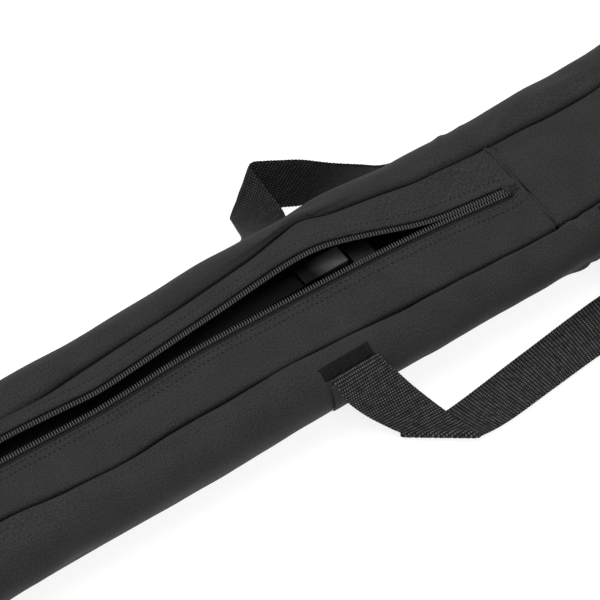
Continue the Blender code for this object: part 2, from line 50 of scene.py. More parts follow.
WORD = {NEAR: "near", FAR: "far"}

# Places along the bag: its ends, the band left of the zip, and the seam right of it
END_X = 0.3490
BAND_X = -0.3395
SEAM_X = 0.055
# Cloth
SHELL_THICKNESS = 0.0009
LIP_THICKNESS = 0.0006
# The valleys between the top panels and the side walls, as (x, y) from above
NEAR_CREASE = ((-0.350, -0.027), (-0.314, -0.024), (-0.275, -0.029), (-0.236, -0.033), (-0.206, -0.030),
               (-0.116, -0.032), (-0.050, -0.036), (-0.013, -0.039), (0.047, -0.042), (0.110, -0.041),
               (0.200, -0.038), (0.350, -0.034))
FAR_CREASE = ((-0.350, 0.028), (-0.277, 0.028), (-0.180, 0.034), (-0.119, 0.038), (-0.098, 0.040),
              (-0.070, 0.0450), (-0.060, 0.0467), (-0.052, 0.0436), (-0.044, 0.0407), (-0.012, 0.0355),
              (0.009, 0.0305), (0.027, 0.029), (0.054, 0.027), (0.099, 0.0235), (0.130, 0.0235),
              (0.220, 0.029), (0.350, 0.033))
# Rows of zip teeth, as (x, y) from above
NEAR_ROW = ((-0.335, 0.0070), (-0.292, 0.0070), (-0.227, 0.0039), (-0.161, 0.0066), (-0.089, 0.0037),
            (-0.024, 0.0002), (0.017, -0.0038), (0.050, -0.0086))
FAR_ROW = ((-0.335, 0.0125), (-0.312, 0.0122), (-0.300, 0.0150), (-0.283, 0.0190), (-0.250, 0.0165),
           (-0.219, 0.0135), (-0.185, 0.0160), (-0.152, 0.0190), (-0.110, 0.0222), (-0.078, 0.0233),
           (-0.060, 0.0222), (-0.048, 0.0190), (-0.032, 0.0138), (-0.017, 0.0077), (-0.008, 0.0042),
           (-0.001, 0.0022), (0.008, 0.0003), (0.020, -0.0014), (0.050, -0.0056))
ZIP_START, ZIP_END = -0.334, 0.0475
COIL_PITCH = 0.00168
COIL_Z = 0.0475
STITCH_START, STITCH_END = -0.336, 0.050
# Where the foot that shows in the mouth turns from painted shade to a painted reflection, and from rough to
# polished
FOOT_START, FOOT_END = -0.069, -0.049
# Webbing: its width, the pitch of its ribs, and the pitch of the yarn humps along a rib
WEBBING_WIDTH = 0.032
RIB = 0.0020
DOT = 0.0014


# ---------------------------------------------------------------- shared helpers

def smooth(table, width):
    """A function through (x, value) pairs with its corners rounded over about width."""
    xs = np.linspace(-0.4, 0.4, 3201)
    raw = np.interp(xs, *np.array(table).T)
    half = int(width / (xs[1] - xs[0]))
    kernel = np.hanning(2 * half + 1)
    soft = np.convolve(np.pad(raw, half, mode="edge"), kernel / kernel.sum(), "valid")
    return lambda x: np.interp(x, xs, soft)


CREASE = {NEAR: smooth(NEAR_CREASE, 0.020), FAR: smooth(FAR_CREASE, 0.010)}
ROW = {NEAR: smooth(NEAR_ROW, 0.030), FAR: smooth(FAR_ROW, 0.016)}


def crease_y(side, x):
    return float(CREASE[side](x))


def row_y(side, x):
    return float(ROW[side](x))


def spline(points, steps):
    """Centripetal Catmull-Rom line through the points, with steps pieces in each span."""
    points = np.asarray(points, float)
    if np.isscalar(steps):
        steps = [steps] * (len(points) - 1)
    ends = np.vstack([2 * points[0] - points[1], points, 2 * points[-1] - points[-2]])
    line = []
    for i, count in enumerate(steps):
        quad = ends[i:i + 4]
        spans = np.sqrt(np.linalg.norm(np.diff(quad, axis=0), axis=1)) + 1e-9
        knots = np.concatenate([[0], np.cumsum(spans)])
        t = np.linspace(knots[1], knots[2], count, endpoint=False)[:, None]

        def mix(a, b, ta, tb):
            return (a * (tb - t) + b * (t - ta)) / (tb - ta)

        ab, bc, cd = (mix(quad[k], quad[k + 1], knots[k], knots[k + 1]) for k in range(3))
        abc, bcd = mix(ab, bc, knots[0], knots[2]), mix(bc, cd, knots[1], knots[3])
        line.append(mix(abc, bcd, knots[1], knots[2]))
    return np.vstack([*line, points[-1:]])


def arc_length(line):
    """The length along a line at each of its points."""
    return np.concatenate([[0], np.cumsum(np.linalg.norm(np.diff(line, axis=0), axis=1))])


def grid_normals(points):
    """Unit normals of a grid of points."""
    along = np.gradient(points, axis=0)
    across = np.gradient(points, axis=1)
    normal = np.cross(along, across)
    return normal / (np.linalg.norm(normal, axis=-1, keepdims=True) + 1e-12)


def grid_mesh(name, points, u=None, v=None, wrap=False, flip=False):
    """A mesh over a grid of points, with its two lengths in metres as UVs."""
    rows, cols = points.shape[:2]
    mesh = bpy.data.meshes.new(name)
    index = np.arange(rows * cols).reshape(rows, cols)
    right = np.roll(index, -1, axis=1) if wrap else index[:, 1:]
    left = index if wrap else index[:, :-1]
    quads = np.stack([left[:-1], left[1:], right[1:], right[:-1]], axis=-1).reshape(-1, 4)
    if flip:
        quads = quads[:, ::-1]
    mesh.from_pydata(points.reshape(-1, 3).tolist(), [], quads.tolist())
    if u is None:
        u = np.broadcast_to(points[:, :1, 0], (rows, cols))
    if v is None:
        steps = np.linalg.norm(np.diff(points, axis=1), axis=-1).mean(axis=0)
        v = np.broadcast_to(np.concatenate([[0], np.cumsum(steps)]), (rows, cols))
    layer = mesh.uv_layers.new(name="UVMap")
    order = np.empty(len(mesh.loops), np.int32)
    mesh.loops.foreach_get("vertex_index", order)
    layer.data.foreach_set("uv", np.stack([u.reshape(-1)[order], v.reshape(-1)[order]], axis=-1).ravel())
    mesh.shade_smooth()
    return mesh


def add(name, data, material, body, nodes=()):
    """A piece that rides on a body, and stands for the CAD nodes named."""
    piece = bpy.data.objects.new(name, data)
    bpy.context.scene.collection.objects.link(piece)
    data.materials.append(material)
    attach(piece, body)
    if nodes:
        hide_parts(*nodes)
    return piece


def thicken(piece, thickness, offset=-1.0):
    """Gives an open sheet its thickness, inwards unless offset is 1."""
    shell = piece.modifiers.new("Thickness", "SOLIDIFY")
    shell.thickness = thickness
    shell.offset = offset
    shell.use_even_offset = False
    return piece


def ripples(points, scales, seed):
    """Smooth noise from -1 to 1 at each point of a grid, stretched by a scale for each axis."""
    shift = Vector((seed * 3.7, seed * 1.3, seed * 7.1))
    flat = (points * np.array(scales)).reshape(-1, 3)
    return np.array([noise.noise(Vector(p) + shift) for p in flat]).reshape(points.shape[:2])


def furrows(points, lines):
    """How far each point sinks into nearby furrows, each (x0, y0, x1, y1, depth, width) from above."""
    sunk = np.zeros(points.shape[:2])
    for x0, y0, x1, y1, depth, width in lines:
        along = np.array((x1 - x0, y1 - y0))
        rel = points[..., :2] - (x0, y0)
        t = np.clip(rel @ along / (along @ along), 0, 1)
        away = np.linalg.norm(rel - t[..., None] * along, axis=-1)
        sunk += depth * np.sin(math.pi * (0.08 + 0.84 * t)) * np.exp(-(away / width) ** 2)
    return sunk


# ---------------------------------------------------------------- materials

class Nodes:
    """A short way to write a node tree: each call adds a node and links its inputs."""

    def __init__(self, name):
        self.material = bpy.data.materials.new(name)
        self.material.use_nodes = True
        self.tree = self.material.node_tree
        self.shader = self.tree.nodes["Principled BSDF"]

    def add(self, kind, inputs=(), **settings):
        node = self.tree.nodes.new(kind)
        for key, value in settings.items():
            setattr(node, key, value)
        for key, value in dict(inputs).items():
            if isinstance(value, bpy.types.NodeSocket):
                self.tree.links.new(value, node.inputs[key])
            else:
                node.inputs[key].default_value = value
        return node

    def math(self, operation, a, b=0.0, c=0.5):
        """The third input is read by MULTIPLY_ADD only."""
        return self.add("ShaderNodeMath", {0: a, 1: b, 2: c}, operation=operation).outputs[0]

    def spread(self, value, **limits):
        """A value mapped from one range to another, such as to_min=0.2, to_max=0.4."""
        inputs = {key.replace("_", " ").title(): limit for key, limit in limits.items()}
        return self.add("ShaderNodeMapRange", {"Value": value, **inputs}).outputs["Result"]

    def times(self, a, b):
        """Two colours multiplied."""
        return self.add("ShaderNodeVectorMath", {0: a, 1: b}, operation="MULTIPLY").outputs["Vector"]

    def ramp(self, value, stops):
        """A grey between two stops, each (place, shade)."""
        node = self.add("ShaderNodeValToRGB", {"Fac": value})
        for stop, (place, shade) in zip(node.color_ramp.elements, stops):
            stop.position = place
            stop.color = (shade, shade, shade, 1.0)
        return node.outputs["Color"]

    def noise(self, where, scale, detail=2.0, roughness=0.5):
        node = self.add("ShaderNodeTexNoise", {"Vector": where, "Scale": scale, "Detail": detail,
                                               "Roughness": roughness})
        return node.outputs["Fac"]

    def link(self, socket, key):
        self.tree.links.new(socket, self.shader.inputs[key])

    def bump(self, height, distance, strength):
        inputs = {"Height": height, "Distance": distance, "Strength": strength}
        return self.add("ShaderNodeBump", inputs).outputs["Normal"]

    def set(self, **values):
        """Constants on the shader's own sockets, such as Sheen_Weight=0.1."""
        for key, value in values.items():
            self.shader.inputs[key.replace("_", " ")].default_value = value
        return self.material


def woven(name, shade, thread, contrast=0.35, roughness=0.8, sheen=0.05, height=0.00012, specular=0.25):
    """Plain-woven cloth on UVs in metres: crossing threads, uneven yarn, faint wear."""
    n = Nodes(name)
    uv = n.add("ShaderNodeUVMap", uv_map="UVMap").outputs["UV"]
    parts = n.add("ShaderNodeSeparateXYZ", {"Vector": uv})
    turn = 2 * math.pi / thread
    warp = n.math("SINE", n.math("MULTIPLY", parts.outputs["X"], turn))
    weft = n.math("SINE", n.math("MULTIPLY", parts.outputs["Y"], turn))
    cloth = n.math("MULTIPLY_ADD", n.math("MULTIPLY", warp, weft), 0.5, 0.5)
    yarn = n.noise(uv, 0.9 / thread, 2.0, 0.6)
    patch = n.noise(n.add("ShaderNodeTexCoord").outputs["Object"], 55.0, 3.0, 0.5)
    mixed = n.math("ADD", n.math("MULTIPLY", cloth, 0.45), n.math("MULTIPLY", yarn, 0.75))
    low, high = shade * (1 - contrast), shade * (1 + contrast)
    threads = n.ramp(mixed, ((0.35, low), (0.85, high)))
    coarse = n.noise(uv, 0.62 / thread, 3.0, 0.75)
    fleck = n.ramp(coarse, ((0.36, 0.55), (0.66, 1.55)))
    wear_and_painted_light = n.ramp(patch, ((0.30, 0.90), (0.75, 1.10)))
    n.link(n.times(n.times(threads, fleck), wear_and_painted_light), "Base Color")
    n.link(n.spread(yarn, to_min=roughness - 0.08, to_max=roughness + 0.10), "Roughness")
    n.link(n.bump(n.math("ADD", mixed, coarse), height, 0.8), "Normal")
    return n.set(Sheen_Weight=sheen, Sheen_Roughness=0.5, Specular_IOR_Level=specular)


def webbing_material(name, shade):
    """Heavy webbing: rows of yarn humps that match the ribs in the mesh, with painted shade between them and
    a painted highlight on the humps.
    """
    n = Nodes(name)
    uv = n.add("ShaderNodeUVMap", uv_map="UVMap").outputs["UV"]
    parts = n.add("ShaderNodeSeparateXYZ", {"Vector": uv})
    ribs = n.math("DIVIDE", parts.outputs["Y"], RIB)
    rib = n.math("ABSOLUTE", n.math("SINE", n.math("MULTIPLY", ribs, math.pi)))
    stagger = n.math("MULTIPLY", n.math("MODULO", n.math("FLOOR", ribs), 2.0), 0.5)
    turns = n.math("ADD", n.math("DIVIDE", parts.outputs["X"], DOT), stagger)
    hump = n.math("MULTIPLY_ADD", n.math("COSINE", n.math("MULTIPLY", turns, 2 * math.pi)), 0.5, 0.5)
    stretched = n.add("ShaderNodeMapping", {"Vector": uv, "Scale": (1.0, 2.6, 1.0)}).outputs["Vector"]
    yarn = n.noise(stretched, 900.0, 3.0, 0.6)
    patch = n.noise(uv, 260.0, 2.0, 0.5)
    relief = n.math("MULTIPLY", rib, n.math("ADD", n.math("MULTIPLY", hump, 0.7), 0.3))
    # Painted shade in the grooves between ribs and a painted highlight on the hump tops
    groove_shade_and_highlight = n.ramp(relief, ((0.30, shade * 0.10), (0.85, shade * 4.2)))
    fleck = n.ramp(n.math("MULTIPLY", yarn, patch), ((0.14, 0.45), (0.36, 1.6)))
    n.link(n.times(groove_shade_and_highlight, fleck), "Base Color")
    n.link(n.bump(n.math("ADD", relief, n.math("MULTIPLY", yarn, 0.4)), 0.0004, 0.9), "Normal")
    n.link(n.spread(yarn, to_min=0.45, to_max=0.70), "Roughness")
    return n.set(Sheen_Weight=0.02, Specular_IOR_Level=0.10)


def hard(name, shade, roughness, metallic=0.0, grain=900.0, depth=0.00003, wear=0.25, coat=0.0, specular=0.5):
    """Painted steel or moulded plastic: fine grain, handling marks and faint uneven gloss."""
    n = Nodes(name)
    where = n.add("ShaderNodeTexCoord").outputs["Object"]
    fine = n.noise(where, grain, 2.0, 0.5)
    marks = n.noise(where, 70.0, 4.0, 0.6)
    n.link(n.times(n.ramp(marks, ((0.3, 1 - wear / 2), (0.75, 1 + wear / 2))), shade), "Base Color")
    n.link(n.spread(marks, from_min=0.3, from_max=0.7, to_min=roughness * 0.8, to_max=roughness * 1.25),
           "Roughness")
    n.link(n.bump(fine, depth, 0.5), "Normal")
    return n.set(Metallic=metallic, Coat_Weight=coat, Specular_IOR_Level=specular)


SHELL = woven("polyester_shell", 0.0200, 0.00058, contrast=0.55, roughness=0.66, height=0.0002, specular=0.06)
# Near-black binding: the piping and the core cord, and painted shade on the near strap ends
BINDING_AND_PAINTED_SHADE = woven("binding_tape_and_painted_shade", 0.0040, 0.0008, sheen=0.02, height=0.0002, specular=0.10)
TAPE = woven("zip_tape_weave", 0.0130, 0.0007, height=0.0002, specular=0.06)
# Thread darker than the shell: black thread, and painted shade of the needle holes along each row
THREAD_AND_PAINTED_SHADE = woven("sewing_thread_and_painted_shade", 0.0050, 0.0005, roughness=0.55, specular=0.15)
WEBBING = webbing_material("handle_webbing", 0.0170)
# A darker copy of the same webbing for the far handle: painted shade, since that strap stands in the bag's
# shade
WEBBING_PAINTED_SHADE = webbing_material("handle_webbing_painted_shade", 0.0075)
TEETH = hard("coil_nylon", (0.036, 0.036, 0.038), 0.34, grain=2500.0, specular=0.5)
ENAMEL = hard("black_enamel", (0.020, 0.020, 0.022), 0.28, metallic=0.3, coat=0.4)
# Black powder coat made darker still: painted shade for the stand lying in the dark inside the bag
BLACK_STEEL_PAINTED_SHADE = hard("powder_coat_painted_shade", (0.0030, 0.0030, 0.0033), 0.62, grain=1600.0, depth=0.00006, specular=0.05)
PLASTIC = hard("moulded_plastic", (0.008, 0.008, 0.009), 0.50, grain=1400.0, depth=0.00005, specular=0.25)
STEEL_STOP = hard("blackened_stop", (0.010, 0.010, 0.011), 0.55, grain=1600.0, depth=0.00004, specular=0.15)
NICKEL = hard("nickel_pin", (0.42, 0.42, 0.44), 0.30, metallic=1.0, wear=0.3)
# Near-black feet: painted shade, as these feet lie in the dark inside the bag
DULL_PAINTED_SHADE = hard("scuffed_foot_painted_shade", (0.0022, 0.0022, 0.0024), 0.70, grain=300.0, depth=0.00002, specular=0.04)


def foot_painted_shade_to_highlight(name, start, end):
    """A rubber foot with painted shade at one end and a painted reflection towards the other, along X; it
    turns from rough to polished along the way.
    """
    n = Nodes(name)
    where = n.add("ShaderNodeTexCoord").outputs["Object"]
    along = n.add("ShaderNodeSeparateXYZ", {"Vector": where}).outputs["X"]
    along = n.math("ADD", along, n.math("MULTIPLY", n.noise(where, 180.0, 3.0, 0.6), 0.006))
    wear_and_painted_light = n.spread(along, from_min=start, from_max=end)
    # Base colour: painted shade at the start, a painted reflection towards the end
    n.link(n.ramp(wear_and_painted_light, ((0.0, 0.003), (1.0, 0.10))), "Base Color")
    n.link(n.ramp(wear_and_painted_light, ((0.0, 0.55), (1.0, 0.22))), "Roughness")
    n.link(n.bump(n.noise(where, 420.0, 3.0, 0.6), 0.00003, 0.5), "Normal")
    return n.set(Metallic=0.7, Specular_IOR_Level=0.2)


# ---------------------------------------------------------------- bag panels

def stations(start, end, step=0.0025):
    """Even places along the bag, about a step apart."""
    return np.linspace(start, end, int(round((end - start) / step)) + 1)


def lofted(section, xs):
    """A grid of points from a cross-section (y, z) at every x."""
    return np.array([[(x, y, z) for y, z in section(x)] for x in xs])


# Outline of each side wall from the ground to the shoulder, as (distance from the middle, height)
SIDE_SHAPE = {
    NEAR: ((0.0415, 0.0012), (0.0447, 0.0032), (0.0484, 0.0088), (0.0532, 0.0170), (0.0576, 0.0260),
           (0.0586, 0.0335), (0.0568, 0.0400)),
    FAR: ((0.0425, 0.0012), (0.0475, 0.0040), (0.0520, 0.0110), (0.0566, 0.0190), (0.0592, 0.0280),
          (0.0586, 0.0340), (0.0568, 0.0400)),
}
# How far the far shoulder has slumped along the bag, and how far the near side swells
slump = smooth(((-0.35, 0.0010), (-0.25, 0.0006), (-0.18, -0.0006), (-0.11, -0.0016), (-0.05, -0.0008),
                (0.03, 0.0032), (0.12, 0.0047), (0.22, 0.0026), (0.35, 0.0014)), 0.030)
swell = smooth(((-0.35, 0.0), (-0.06, 0.0001), (0.06, 0.0013), (0.35, 0.0008)), 0.040)


def settle(side, x, y, z):
    """Where cloth from the regular outline really lies."""
    if side == NEAR:
        return y + float(swell(x)), z
    amount = float(slump(x)) * min(1.0, max(0.0, (z - 0.016) / 0.022))
    amount *= min(1.0, max(0.0, (y - 0.030) / 0.016))
    return y - 0.80 * amount, z - 0.60 * amount


def gusset_section(side):
    """A side wall's cross-section, from the ground over the shoulder and down into the valley."""
    def section(x):
        inner = abs(crease_y(side, x))
        tight = min(1.0, max(0.0, (inner - 0.0385) / 0.008))
        shoulder = max(0.0470, inner + 0.0038)
        points = [settle(side, x, y, z) for y, z in (
            *SIDE_SHAPE[side], (max(0.0533, shoulder + 0.0022), 0.0449 - 0.0006 * tight),
            (shoulder, 0.0486 - 0.0019 * tight), ((shoulder + inner) / 2 + 0.0002, 0.0490 - 0.0017 * tight))]
        points += [(inner + 0.0034 - 0.0016 * tight, 0.0483 - 0.0013 * tight), (inner + 0.0015, 0.0466),
                   (inner + 0.0010, 0.0450), (inner + 0.0011, 0.0428)]
        return [(side * y, z) for y, z in spline(points, 5)]
    return section


# Finished grids of the side walls and the top panels, for what is sewn onto them
SIDE_SURFACE = {}
SURFACE = {}
GUSSET_FURROWS = {
    FAR: ((0.030, 0.033, 0.044, 0.054, 0.0020, 0.0030), (0.047, 0.031, 0.056, 0.050, 0.0018, 0.0028),
          (0.062, 0.030, 0.082, 0.040, 0.0008, 0.0030), (-0.075, 0.050, -0.030, 0.044, 0.0010, 0.0030),
          (-0.060, 0.058, -0.015, 0.052, 0.0006, 0.0040), (0.100, 0.040, 0.150, 0.036, 0.0008, 0.0035)),
    NEAR: ((0.058, -0.044, 0.070, -0.056, 0.0034, 0.0032), (0.072, -0.044, 0.078, -0.056, 0.0026, 0.0028),
           (0.078, -0.046, 0.110, -0.050, 0.0010, 0.0035), (-0.150, -0.038, -0.090, -0.041, 0.0005, 0.0030),
           (-0.300, -0.036, -0.250, -0.042, 0.0008, 0.0040)),
}


def gusset(side):
    """A side wall, slack and furrowed above the ground."""
    points = lofted(gusset_section(side), stations(-END_X, END_X, 0.0016))
    normal = grid_normals(points) * side
    free = np.clip((points[..., 2] - 0.004) / 0.012, 0, 1)
    lift = 0.0014 * ripples(points, (20, 34, 34), 4 + side) + 0.0007 * ripples(points, (48, 60, 60), 7 + side)
    lift = free * (lift - furrows(points, GUSSET_FURROWS[side]))
    edge = np.linspace(0, 1, points.shape[1])
    lift *= np.clip((1 - edge) / 0.06, 0, 1)
    points = points + normal * lift[..., None]
    SIDE_SURFACE[side] = points
    mesh = grid_mesh(f"skin_gusset_{WORD[side]}", points, flip=side == FAR)
    piece = add(mesh.name, mesh, SHELL, "bag", [f"gusset_{WORD[side]}"])
    thicken(piece, SHELL_THICKNESS)


def lip_height(side, x):
    """Extra height of a top panel at its lip: the far lip is pushed up over the folded stand."""
    if side == NEAR:
        return 0.0006 * math.exp(-((x + 0.05) / 0.05) ** 2)
    return 0.0028 * math.exp(-((x + 0.078) / 0.032) ** 2) + 0.0008 * math.exp(-((x + 0.2) / 0.06) ** 2)


LIP_TO_ROW = {NEAR: 0.0052, FAR: 0.0034}


def lip_gap(side, x):
    """From a row of teeth to its panel's lip; both lips draw in over the end of the zip."""
    close = min(1.0, max(0.0, (x - 0.0430) / 0.0115))
    return LIP_TO_ROW[side] * (1 - 0.80 * close * close * (3 - 2 * close))


def top_section(side):
    """A top panel's cross-section, from the valley to the lip and back under it."""
    def section(x):
        outer = side * crease_y(side, x)
        lip = side * row_y(side, x) + lip_gap(side, x)
        wide = outer - lip
        up = lip_height(side, x)
        points = [(outer - 0.0010, 0.0434), (outer - 0.0009, 0.0452), (outer - 0.0015, 0.0466),
                  (outer - 0.0034, 0.0475),
                  (outer - 0.30 * wide, 0.0479 + 0.2 * up), (lip + 0.35 * wide, 0.0480 + 0.6 * up),
                  (lip + 0.0032, 0.0481 + 0.95 * up), (lip + 0.0008, 0.0480 + up),
                  (lip, 0.0474 + up), (lip + 0.0008, 0.0468 + up), (lip + 0.0030, 0.0467 + 0.95 * up),
                  (lip + 0.0090, 0.0466 + 0.6 * up)]
        return [(side * y, z) for y, z in spline(points, (4, 4, 4, 5, 6, 6, 5, 4, 4, 4, 4))]
    return section


# The points of that section from the valley to the lip
UPPER_FACE = slice(4, 34)
TOP_FURROWS = (
    (0.012, 0.026, 0.050, 0.012, 0.0009, 0.0030), (-0.010, 0.030, 0.030, 0.020, 0.0006, 0.0035),
    (0.020, -0.014, 0.048, -0.030, 0.0007, 0.0040), (-0.045, -0.012, 0.020, -0.028, 0.0004, 0.0060),
    (-0.200, -0.010, -0.120, -0.020, 0.0004, 0.0060), (-0.052, 0.040, -0.030, 0.026, 0.0010, 0.0030),
    (-0.300, -0.006, -0.240, -0.018, 0.0006, 0.0050),
)


def top_panel(side):
    """A top panel beside the zip, its lip rolled under."""
    points = lofted(top_section(side), stations(BAND_X, SEAM_X - 0.0012))
    across = np.linspace(0, 1, points.shape[1])
    free = np.clip(across / 0.15, 0, 1) * np.clip((0.70 - across) / 0.12, 0, 1)
    lift = 0.0013 * ripples(points, (22, 50, 30), 11 + side)
    lift += 0.0006 * ripples(points, (50, 80, 60), 17 + side)
    points[..., 2] += free * lift - free * furrows(points, TOP_FURROWS)
    SURFACE[side] = points
    mesh = grid_mesh(f"skin_top_{WORD[side]}", points, flip=side == NEAR)
    piece = add(mesh.name, mesh, SHELL, "bag", [f"top_panel_{WORD[side]}"])
    thicken(piece, LIP_THICKNESS)


def flat_top(name, start, end, nodes, furrow_lines=()):
    """A piece of top fabric from crease to crease."""
    def section(x):
        near, far = crease_y(NEAR, x), crease_y(FAR, x)
        points = [(near + 0.0010, 0.0434), (near + 0.0009, 0.0452), (near + 0.0015, 0.0466),
                  (near + 0.0034, 0.0475), (near * 0.45, 0.0483), (far * 0.45, 0.0483),
                  (far - 0.0034, 0.0475), (far - 0.0015, 0.0466), (far - 0.0009, 0.0452),
                  (far - 0.0010, 0.0434)]
        return spline(points, (3, 3, 4, 12, 14, 12, 4, 3, 3))

    points = lofted(section, stations(start, end))
    across = np.linspace(0, 1, points.shape[1])
    free = np.clip(across / 0.08, 0, 1) * np.clip((1 - across) / 0.08, 0, 1)
    lift = 0.0022 * ripples(points, (24, 34, 30), 23) + 0.0007 * ripples(points, (50, 60, 60), 29)
    points[..., 2] += free * (lift - furrows(points, furrow_lines))
    piece = add(name, grid_mesh(name, points, flip=True), SHELL, "bag", nodes)
    thicken(piece, SHELL_THICKNESS)


def bottom():
    """The bottom panel, slightly uneven, turned up at both sides to meet the side walls."""
    section = spline([(-0.0428, 0.0014), (-0.0415, 0.0006), (-0.020, 0.0004), (0.020, 0.0004),
                      (0.0415, 0.0006), (0.0428, 0.0014)], (3, 6, 8, 6, 3))
    points = lofted(lambda x: section, stations(-END_X, END_X, 0.005))
    points[..., 2] += 0.0003 * (1 + ripples(points, (30, 40, 1), 31)) * (np.abs(points[..., 1]) < 0.040)
    mesh = grid_mesh("skin_bottom", points)
    piece = add(mesh.name, mesh, SHELL, "bag", ["bottom_panel"])
    thicken(piece, SHELL_THICKNESS, 1.0)


def end_panel(side):
    """An end panel that bulges out a little, with piping round its edge."""
    word = "left" if side < 0 else "right"
    x = side * END_X
    outline = np.array(gusset_section(NEAR)(x) + gusset_section(FAR)(x)[::-1])
    middle = np.array((0.0, 0.024))
    rings = []
    for scale in np.linspace(1.0, 0.02, 22):
        bulge = 0.0035 * (1 - scale ** 2.2)
        yz = middle + (outline - middle) * scale
        rings.append([(x + side * bulge, y, z) for y, z in yz])
    points = np.array(rings)
    wrinkle = 0.0009 * ripples(points, (1, 60, 40), 37 + side)
    points[..., 0] += wrinkle * np.linspace(0, 1, len(rings))[:, None] ** 0.5
    mesh = grid_mesh(f"skin_end_{word}", points, u=points[..., 1], v=points[..., 2], wrap=True, flip=side < 0)
    piece = add(mesh.name, mesh, SHELL, "bag", [f"end_panel_{word}"])
    thicken(piece, SHELL_THICKNESS)
    edge = tube(f"piping_end_{word}", [(x, y, z) for y, z in outline], 0.0011, closed=True)
    add(edge.name, edge, BINDING_AND_PAINTED_SHADE, "bag")


def tube(name, line, radius, sides=8, closed=False):
    """A round tube along a line as a mesh, with UVs in metres."""
    line = np.asarray(line, float)
    if closed:
        along = np.roll(line, -1, axis=0) - np.roll(line, 1, axis=0)
    else:
        along = np.gradient(line, axis=0)
    along /= np.linalg.norm(along, axis=1, keepdims=True)
    guide = np.array((0.0, 0.0, 1.0)) if abs(along[:, 2]).max() < 0.95 else np.array((1.0, 0.0, 0.0))
    side = np.cross(along, guide)
    side /= np.linalg.norm(side, axis=1, keepdims=True)
    up = np.cross(side, along)
    angle = np.linspace(0, 2 * math.pi, sides, endpoint=False)
    ring = side[:, None] * np.cos(angle)[:, None] + up[:, None] * np.sin(angle)[:, None]
    points = line[:, None] + radius * ring
    if closed:
        points = np.vstack([points, points[:1]])
    lengths = arc_length(points[:, 0])
    u = np.broadcast_to(lengths[:, None], points.shape[:2])
    v = np.broadcast_to(angle * radius, points.shape[:2])
    mesh = grid_mesh(name, points, u=u, v=v, wrap=True)
    if not closed:
        cap_ends(mesh)
    return mesh


def cap_ends(mesh):
    """Closes a mesh's open ends."""
    grown = bmesh.new()
    grown.from_mesh(mesh)
    bmesh.ops.holes_fill(grown, edges=[e for e in grown.edges if e.is_boundary], sides=0)
    grown.to_mesh(mesh)
    grown.free()


def cross_seam():
    """The raised welt between the zipped part and the closed sleeve, with a row of stitches on the sleeve."""
    ys = np.linspace(crease_y(NEAR, SEAM_X) + 0.0008, crease_y(FAR, SEAM_X) - 0.0008, 60)
    rows = []
    for y in ys:
        wave = 0.0006 * math.sin(y * 130) + 0.0004 * math.sin(y * 310 + 1)
        x = SEAM_X + wave
        crown = 0.0006 * noise.noise(Vector((y * 60, 1.0, 2.0)))
        drop = 0.0020 * max(0.0, (abs(y + 0.0075) - 0.026) / 0.010) ** 2
        top = 0.0488 + crown - min(drop, 0.0025)
        section = [(x - 0.0016, top - 0.0026), (x - 0.0012, top - 0.0008), (x - 0.0006, top + 0.0001),
                   (x + 0.0004, top + 0.0002), (x + 0.0011, top - 0.0006), (x + 0.0015, top - 0.0026)]
        rows.append([(a, y, b) for a, b in spline(section, 4)])
    points = np.array(rows)
    u = np.broadcast_to(ys[:, None], points.shape[:2])
    mesh = grid_mesh("seam_welt", points, u=u, v=points[..., 0], flip=True)
    piece = add(mesh.name, mesh, SHELL, "bag", ["cross_seam_welt"])
    thicken(piece, 0.0008)
    line = [(SEAM_X + 0.0040 + 0.0006 * math.sin(y * 130), y, 0.0484) for y in ys]
    stitches("stitch_cross_seam", line, "bag")


# ---------------------------------------------------------------- stitches

STITCH_LENGTH, STITCH_GAP = 0.0019, 0.0012


def stitches(name, line, body, radius=0.00034):
    """Lock stitches along a line: short rounded threads, each dipping into the cloth at both ends."""
    line = np.asarray(line, float)
    lengths = arc_length(line)
    count = max(1, int(lengths[-1] / (STITCH_LENGTH + STITCH_GAP)))
    pitch = lengths[-1] / count
    mesh = bpy.data.meshes.new(name)
    grown = bmesh.new()
    sides = 6
    for k in range(count):
        start, end = k * pitch + STITCH_GAP / 2, (k + 1) * pitch - STITCH_GAP / 2
        at = np.linspace(start, end, 5)
        where = np.stack([np.interp(at, lengths, line[:, axis]) for axis in range(3)], axis=-1)
        where[[0, -1], 2] -= radius * 1.1
        along = where[-1] - where[0]
        along /= np.linalg.norm(along)
        side = np.cross(along, (0, 0, 1))
        side /= np.linalg.norm(side)
        up = np.cross(side, along)
        rings = []
        for centre, thick in zip(where, (0.45, 1.0, 1.08, 1.0, 0.45)):
            ring = []
            for a in range(sides):
                angle = 2 * math.pi * a / sides
                offset = radius * thick * (side * math.cos(angle) + up * math.sin(angle))
                ring.append(grown.verts.new(centre + offset))
            rings.append(ring)
        for first, second in zip(rings, rings[1:]):
            for a in range(sides):
                grown.faces.new((first[a], first[(a + 1) % sides], second[(a + 1) % sides], second[a]))
        grown.faces.new(rings[0][::-1])
        grown.faces.new(rings[-1])
    bmesh.ops.recalc_face_normals(grown, faces=grown.faces)
    layer = grown.loops.layers.uv.new("UVMap")
    for face in grown.faces:
        for loop in face.loops:
            loop[layer].uv = (loop.vert.co.x, loop.vert.co.y + loop.vert.co.z)
    grown.to_mesh(mesh)
    grown.free()
    mesh.shade_smooth()
    add(name, mesh, THREAD_AND_PAINTED_SHADE, body)


def surface_line(side, offset, rise):
    """A line along a top panel, offset outwards from its lip and raised a little off the cloth."""
    line = []
    for points in SURFACE[side]:
        x = points[0, 0]
        if STITCH_START <= x <= STITCH_END:
            part = points[UPPER_FACE]
            lip = side * row_y(side, x) + lip_gap(side, x)
            order = np.argsort(side * part[:, 1])
            z = np.interp(lip + offset, side * part[order, 1], part[order, 2])
            line.append((x, side * (lip + offset), z + rise))
    return line


